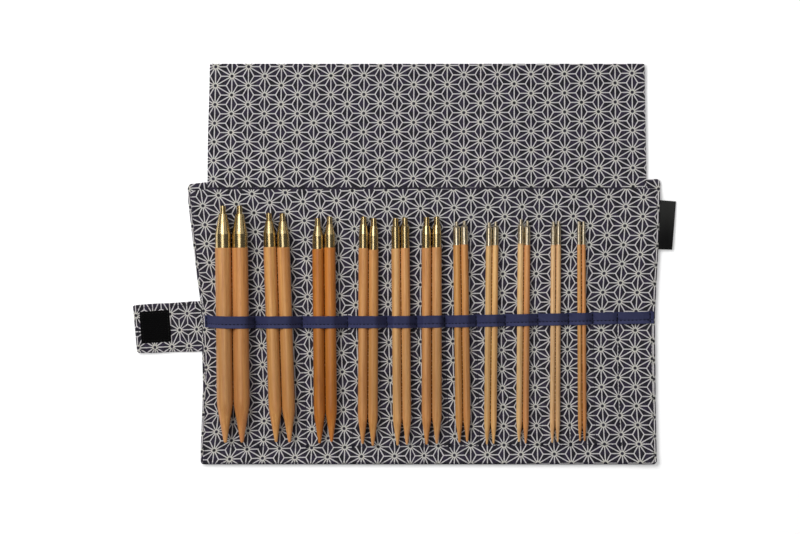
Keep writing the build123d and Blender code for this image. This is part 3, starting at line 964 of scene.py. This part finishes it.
def bandLine():
    # the whole tape's middle line, evenly spaced, and softened at its seams by a running bell-shaped mean
    seams, ends, step = band["seams"], band["ends"], band["step"]
    line = np.concatenate([ends[:1], *(loopLine(a, b) for a, b in zip(seams, seams[1:])), ends[1:]])
    along = pathLengths(line)
    even = np.arange(0, along[-1], step)
    even = even * along[-1] / even[-1]
    line = np.stack([np.interp(even, along, line[:, k]) for k in (0, 1)], -1)
    reach = int(3 * band["soften"] / step) + 1
    weight = np.exp(-(np.arange(-reach, reach + 1) * step / band["soften"]) ** 2 / 2)
    padded = np.pad(line, ((reach, reach), (0, 0)), mode="reflect", reflect_type="odd")
    line = np.stack([np.convolve(padded[:, k], weight / weight.sum(), "valid") for k in (0, 1)], -1)
    return line, even


def bandProfile():
    # cross-section of the tape: flat, with round edges, a raised selvage and a sewn groove
    half, thick = band["width"] / 2, band["thickness"] / 2
    turn = np.linspace(0, pi, 7)[1:-1]
    top = np.linspace(half - thick, -half + thick, 25)
    groove = 0.05 * hump(np.abs(top) - band["selvage"], 0.25) - 0.13 * hump(top - band["stitchAt"], 0.28)
    return np.concatenate([
        joined(top, thick + groove),
        joined(-half + thick - thick * np.sin(turn), thick * np.cos(turn)),
        joined(np.linspace(-half + thick, half - thick, 7), np.full(7, -thick)),
        joined(half - thick + thick * np.sin(turn), -thick * np.cos(turn))])


def bandShape(line, even):
    # the cross-section carried along the line, with creases that run in from the seams
    profile = bandProfile()
    normal = lineNormals(line)
    across, lift = profile[:, 0][None], profile[:, 1][None]
    x, z = line[:, :1], line[:, 1:]
    fromSeam = np.min(np.abs(x[..., None] - np.array(band["seams"])), -1)
    crease = 0.2 * np.sin(across * 1.5 + x * 1.1 + np.sin(x * 0.31) * 2) * hump(fromSeam, 2.8)
    crease = crease + 0.05 * ripple(x + 0 * across, across * 2 + 0 * x, 9, 13)
    pinched = 1 + 0.05 * hump(fromSeam, 2.2) * np.sign(across)
    height = lift + (crease - 0.42 * hump(fromSeam, 0.42)) * (lift > -0.2)
    points = joined(x + normal[:, :1] * height, bandMiddle(x) + across * pinched,
                 z + normal[:, 1:] * height + caseLift(x, 2))
    rows, columns = points.shape[:2]
    index = np.arange(rows * columns).reshape(rows, columns)
    around = np.concatenate([index, index[:, :1]], 1)
    faces = [gridFaces(around)]
    for number, row in ((0, 0), (1, -1)):        # each end is a fan round its centre
        centre = np.full(columns, rows * columns + number)
        fan = np.stack([centre, around[row, :-1], around[row, 1:], centre], -1)
        faces.append(fan[:, ::-1] if row == 0 else fan)
    layer = np.stack(np.broadcast_arrays(even[:, None], across), -1).reshape(-1, 2)
    layer = np.concatenate([layer, layer[:1], layer[-1:]])
    flat = np.concatenate([np.full(len(part), number > 0) for number, part in enumerate(faces)])
    points = np.concatenate([points.reshape(-1, 3), points[[0, -1]].mean(1)])
    return points, np.concatenate(faces), {"cloth": layer}, flat


navy = navyTape("navyTape")
line, even = bandLine()
split = int(np.argmin(np.abs(line[:, 0])))
halves = {-1: slice(0, split + 1), 1: slice(split, None)}        # the tape is split on the spine
for side, word, nodes in ((-1, "Left", ("band_left", "band_spine")), (1, "Right", ("band_right",))):
    shape = bandShape(line[halves[side]], even[halves[side]])
    piece = makePiece("bandTape" + word, shape, navy, nodes)
    bendAtSpine(piece, side)
print("band done")


stitch = {
    # pitch, share of it that shows, and radius of the thread
    "channel": (2.3, 0.8, 0.17), "knot": (2.7, 0.95, 0.28), "footRow": (2.4, 0.82, 0.19),
    "border": (2.3, 0.78, 0.12), "bandSeam": (1.9, 0.84, 0.33), "bandKnot": (1.7, 0.95, 0.3),
    "bandEdge": (2.4, 0.66, 0.25), "tab": (2.4, 0.8, 0.18), "hook": (1.9, 0.8, 0.14),
    "sides": 6, "knotStitches": 5, "knotPitch": 0.45,
}


def stitchRun(kind, path):
    # evenly spaced thread stitches along a line of points; each dips into the cloth at its ends
    pitch, share, radius = stitch[kind]
    along = pathLengths(path)
    count = max(int(along[-1] / pitch), 1)
    starts = (np.arange(count) + (1 - share) / 2) * along[-1] / count
    bits = np.linspace(0, 1, 7)
    at = starts[:, None] + bits * share * along[-1] / count
    points = np.stack([np.interp(at, along, path[:, k]) for k in range(3)], -1)
    points[..., 2] += radius * (np.sin(bits * pi) ** 0.5 * 1.6 - 0.9)
    return tube(points, radius * np.array([0.3, 0.85, 1, 1.05, 1, 0.85, 0.3]), stitch["sides"])


def onLining(x, y):
    return joined(x, y, liningLevel(x, y) + 0.02)


def rowBetween(ax, ay, bx, by, count=120, sway=0.1):
    share = np.linspace(0, 1, count)
    return onLining(lerp(share, ax, bx) + sway * np.sin(share * 11), lerp(share, ay, by))


navyThread, inkThread, hookThread = (threadFinish(name) for name in threadColours)
for side, word, low, high in ((-1, "Left", -127.0, -0.3), (1, "Right", 0.3, 117.0)):
    runs = []
    for head, foot in zip(case["seams"], case["seamFeet"]):
        if head * side > 0:
            end = footRow(foot)
            runs.append(stitchRun("channel", rowBetween(head, case["seamTop"], foot, end)))
            for number in range(stitch["knotStitches"]):        # the knot where a channel ends
                down = end + 0.9 - stitch["knotPitch"] * number
                runs.append(stitchRun("knot", rowBetween(foot - 1.3, down, foot + 1.2, down + 0.3, 10, 0)))
    runs.append(stitchRun("footRow", rowBetween(low, footRow(low), high, footRow(high), 400)))
    rimRow = case["foot"] + case["wrapFoot"] + 0.5
    y = np.linspace(78.5, rimRow + 1.9, 400)
    edge = side * (foreEdge(side, y) - wrapWidth(side, y) - 0.5)
    x = np.linspace(abs(edge[-1]) - 1.6, 0.3, 400) * side
    runs.append(stitchRun("border", np.concatenate([onLining(edge, y), onLining(x, 0 * x + rimRow)])))
    piece = makePiece("clothStitches" + word, stack(*runs), inkThread)
    bendAtSpine(piece, side)

    runs = []
    across = np.linspace(-3.35, 3.35, 30)
    for seam in [seam for seam in band["seams"] if seam * side > 0]:
        nearest = int(np.argmin(np.abs(line[:, 0] - seam)))
        middle, z = bandMiddle(seam), line[nearest, 1] + band["thickness"] / 2 - 0.34 + caseLift(seam, 2)
        for shift in ((0,) if abs(seam) > 10 else (0, -1.5)):        # the spine's seams are sewn twice
            path = joined(seam + shift + 0.1 * np.sin(across * 2), middle + across, z)
            runs.append(stitchRun("bandSeam", path))
        if abs(seam) < 130:                # the thread runs on past the band's edges
            for start, end in ((3.7, 5.3), (-5.0, -3.7)):
                path = rowBetween(seam, middle + start, seam + 0.1, middle + end, 10, 0)
                runs.append(stitchRun("bandKnot", path))
    half = line[halves[side]]
    over = half + lineNormals(half) * (band["thickness"] / 2 - 0.06)
    x, z = over.T
    runs.append(stitchRun("bandEdge", joined(x, bandMiddle(x) + band["stitchAt"], z + caseLift(x, 2))))
    piece = makePiece("bandStitches" + word, stack(*runs), navyThread)
    bendAtSpine(piece, side)

for word, low, high in (("Root", 0.8, 9.3), ("End", 9.5, tab["stitchEnd"])):
    s = np.linspace(low, high, 120)
    rows = [(s, way * (tabHalf(s) - tab["stitchInset"])) for way in (-1, 1)]
    if word == "End":
        t = np.linspace(-12.4, 12.4, 80)
        rows.append((0 * t + tab["stitchEnd"], t))
    runs = [stitchRun("tab", onTab(s, t, tabTop(s, t, tab["stitchInset"]) + 0.02)) for s, t in rows]
    piece = makePiece("tabStitches" + word, stack(*runs), inkThread)
    bendTab(piece)

sewn, half = patches["sewn"], patches["hookHalf"] - patches["sewn"]
low, high = patches["hookStart"] + sewn, patches["hookEnd"] - sewn
corners = np.array([[low, -half], [high, -half], [high, half], [low, half], [low, -half]])
s, t = (np.interp(np.linspace(0, 4, 200), range(5), corners[:, k]) for k in (0, 1))
run = stitchRun("hook", onHook(s, t, patches["hookTop"] - 0.1))
piece = makePiece("hookStitches", run, hookThread)
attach(piece, "tab_tip")
print("stitches done")


bamboo = {
    # left and right needle of each pair
    "tints": [
        ((0.55, 0.28, 0.11), (0.53, 0.24, 0.084)), ((0.59, 0.30, 0.11), (0.57, 0.28, 0.097)),
        ((0.45, 0.16, 0.025), (0.51, 0.19, 0.033)), ((0.55, 0.26, 0.096), (0.56, 0.28, 0.096)),
        ((0.61, 0.34, 0.15), (0.61, 0.32, 0.13)), ((0.55, 0.26, 0.10), (0.55, 0.29, 0.12)),
        ((0.56, 0.28, 0.096), (0.56, 0.27, 0.098)), ((0.64, 0.40, 0.19), (0.70, 0.42, 0.19)),
        ((0.72, 0.48, 0.26), (0.57, 0.27, 0.11)), ((0.74, 0.48, 0.28), (0.61, 0.38, 0.21)),
        ((0.62, 0.33, 0.13), (0.54, 0.24, 0.09)),
    ],
    # what the tints are multiplied by, for all the wood and for its pale, tawny, rosy and clouded places
    "varnish": (0.95, 0.94, 0.79), "pale": (1.2, 1.2, 1.2), "tawny": (0.8, 0.66, 0.54),
    "rosy": (1.05, 0.9, 1.05), "clouded": (0.62, 0.5, 0.4),
    "clouds": 0.25, "cloudyPair": 3, "cloudier": 0.75, "handled": 0.3,
    "roughness": 0.36,
}
brass = {
    # pale and tarnished colour; the thin needles' ferrules are the same brass painted paler, a painted
    # highlight, and are duller
    "large": ((0.76, 0.58, 0.30), (0.64, 0.46, 0.2)), "small": ((0.93, 0.80, 0.58), (0.82, 0.68, 0.44)),
    "roughness": {"large": (0.22, 0.25), "small": (0.26, 0.32)},
}
millimetre = (0.001, 0.001, 0.001)


def shaded(tint, factors):
    return tuple(min(c * factor, 0.9) for c, factor in zip(tint, factors))


def bambooFinish(name, tint, place, turn, mottle):
    # long fibres: fine dark streaks over broad pale and tawny ones, from noise drawn out along the needle
    f = Finish(name)

    def streaks(width, length, detail, roughness):
        return f.noise(f.place(place, turn, (width, length, width)), 1.0, detail, roughness)

    broad, fine = streaks(0.0022, 0.09, 3, 0.6), streaks(0.0006, 0.022, 3, 0.55)
    flecks, clouds = streaks(0.00022, 0.006, 2, 0.5), streaks(0.009, 0.03, 3, 0.6)
    stripes = streaks(0.0032, 0.4, 2, 0.5)
    tint = shaded(tint, bamboo["varnish"])
    pale, tawny, rosy, clouded = (shaded(tint, bamboo[kind]) for kind in ("pale", "tawny", "rosy", "clouded"))
    colour = f.mix(broad.ramp(0.32, 0.68), tawny, f.mix(stripes.ramp(0.45, 0.55), pale, rosy))
    colour = f.mix(fine.ramp(0.42, 0.62, 0.0, 0.6), colour, tint)
    colour = f.mix(flecks.ramp(0.58, 0.72, 0.0, 0.5), colour, [c * 0.55 for c in tawny])
    colour = f.mix(clouds.ramp(0.5, 0.72, 0.0, mottle), colour, clouded)
    fromTip = f.part(f.place(place, turn, millimetre), "Y")
    handled = fromTip.ramp(12, 32) * fromTip.ramp(62, 85, 1, 0)        # darker between the band and the point
    colour = f.mix(handled * bamboo["handled"], colour, [c * 0.6 for c in tint])
    rough = fine.ramp(0.3, 0.7, bamboo["roughness"] - 0.05, bamboo["roughness"] + 0.1)
    normal = f.bump(fine * 0.6 + flecks * 0.4, 0.00005, 0.5)
    return f.surface(
        Base_Color=colour, Roughness=rough, Normal=normal,
        Specular_IOR_Level=0.45, Coat_Weight=0.12, Coat_Roughness=0.2)


def brassFinish(name, place, turn, group):
    # turned brass: fine rings from the lathe along the needle, with a little tarnish
    f = Finish(name)
    vector = f.place(place, turn, millimetre)
    rings = (f.part(vector, "Y") * 41 + f.noise(vector, 0.6, 2) * 3).sine() * 0.5 + 0.5
    grind = f.noise(f.stretched(vector, (0.15, 9, 0.15)), 1.0, 3, 0.6)
    tarnish = f.noise(vector, 0.35, 3, 0.6)
    return f.surface(
        Base_Color=f.mix(tarnish.ramp(0.4, 0.75), *brass[group]), Metallic=1.0,
        Roughness=grind.ramp(0.3, 0.7, *brass["roughness"][group]), Normal=f.bump(rings, 0.0000012, 0.04))


for number, (tints, (diameter, topX, tipX, topY, tipY)) in enumerate(zip(bamboo["tints"], pairs), 1):
    turn = float(np.arctan2(tipX - topX, topY - tipY))
    height = (band["woodHeight"] + diameter / 2) / 1000
    mottle = bamboo["cloudier" if number == bamboo["cloudyPair"] else "clouds"]
    # the thin needles' ferrules take the paler brass: a painted highlight
    group = "large" if diameter > 5 else "small"
    metal = brassFinish(f"brass{number:02d}", (topX / 1000, topY / 1000, height), turn, group)
    for side, tint in zip(("left", "right"), tints):
        tip = (tipX / 1000, tipY / 1000, height)
        wood = bambooFinish(f"bamboo{number:02d}{side}", tint, tip, turn, mottle)
        for part, finish in (("shaft", wood), ("ferrule", metal)):
            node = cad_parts[f"pair_{number:02d}_{side}_{part}"]
            node.data.materials.clear()
            node.data.materials.append(finish)
print("needles done")


studio = {
    "aim": (0, 0.03, 0),
    "camera": (-0.0190, 0.03395, 3.0), "lens": 218.7,
    "floor": 0.9, "floorHalf": 2500, "glow": 0.27, "world": 0.37, "reflected": 0.07,
    # place, size and power of each lamp
    "key": ((-0.98, 0.74, 1.5), (1.6, 0.8), 31.0),
    "strip": ((-0.27, 0.06, 1.1), (0.56, 0.42), 1.0),
    "sheen": ((-0.42, 0.53, 1.5), (1.0, 0.62), 6.6),
    "wide": ((0, 1.6, 1.6), (6.0, 1.9), 13.0),
}


def areaLight(name):
    # the lamp faces straight down
    place, size, power = studio[name]
    data = bpy.data.lights.new(name + "Light", "AREA")
    data.energy = power
    data.shape = "RECTANGLE"
    data.size, data.size_y = size
    light = bpy.data.objects.new(name + "Light", data)
    scene.collection.objects.link(light)
    light.location = place
    return light


key = areaLight("key")
way = np.array(studio["aim"]) - np.array(studio["key"][0])
key.rotation_euler = (np.arctan2(np.hypot(way[0], way[1]), -way[2]), 0, np.arctan2(way[1], way[0]) - pi / 2)
key.visible_glossy = False             # metal and varnish show three dimmer cards instead
for name in ("strip", "sheen", "wide"):
    areaLight(name).visible_diffuse = False

world = bpy.data.worlds.new("studioWorld")
world.use_nodes = True
nodes, links = world.node_tree.nodes, world.node_tree.links
nodes["Background"].inputs["Color"].default_value = (1, 1, 1, 1)
rays = nodes.new("ShaderNodeLightPath").outputs
strength = nodes["Background"].inputs["Strength"]
for ray, amount in (("Is Camera Ray", 1.0), ("Is Glossy Ray", studio["reflected"])):
    # a ray of this kind sees this amount, and any other goes on to the next choice
    choice = nodes.new("ShaderNodeMapRange")
    choice.inputs["To Max"].default_value = amount
    links.new(rays[ray], choice.inputs["Value"])
    links.new(choice.outputs["Result"], strength)
    strength = choice.inputs["To Min"]
strength.default_value = studio["world"]
scene.world = world

f = Finish("floorPaper")
rays = f.add("ShaderNodeLightPath")
seen = rays["Is Camera Ray"].most(rays["Is Glossy Ray"]).most(rays["Is Transmission Ray"])
paper = f.surface(Base_Color=(studio["floor"],) * 3, Roughness=0.9, Specular_IOR_Level=0.0,
                  Emission_Color=(1, 1, 1, 1), Emission_Strength=seen * studio["glow"])
span = np.linspace(-studio["floorHalf"], studio["floorHalf"], 3)
x, y = np.meshgrid(span, span)
faces = gridFaces(np.arange(9).reshape(3, 3))
makePiece("floor", (joined(x, y, -0.05).reshape(-1, 3), faces, {}, np.zeros(len(faces), bool)), paper)

camera = bpy.data.objects.new("camera", bpy.data.cameras.new("camera"))
scene.collection.objects.link(camera)
camera.location = studio["camera"]
camera.data.lens = studio["lens"]
camera.data.sensor_width = 36
camera.data.clip_end = 20
scene.camera = camera
print("studio done")
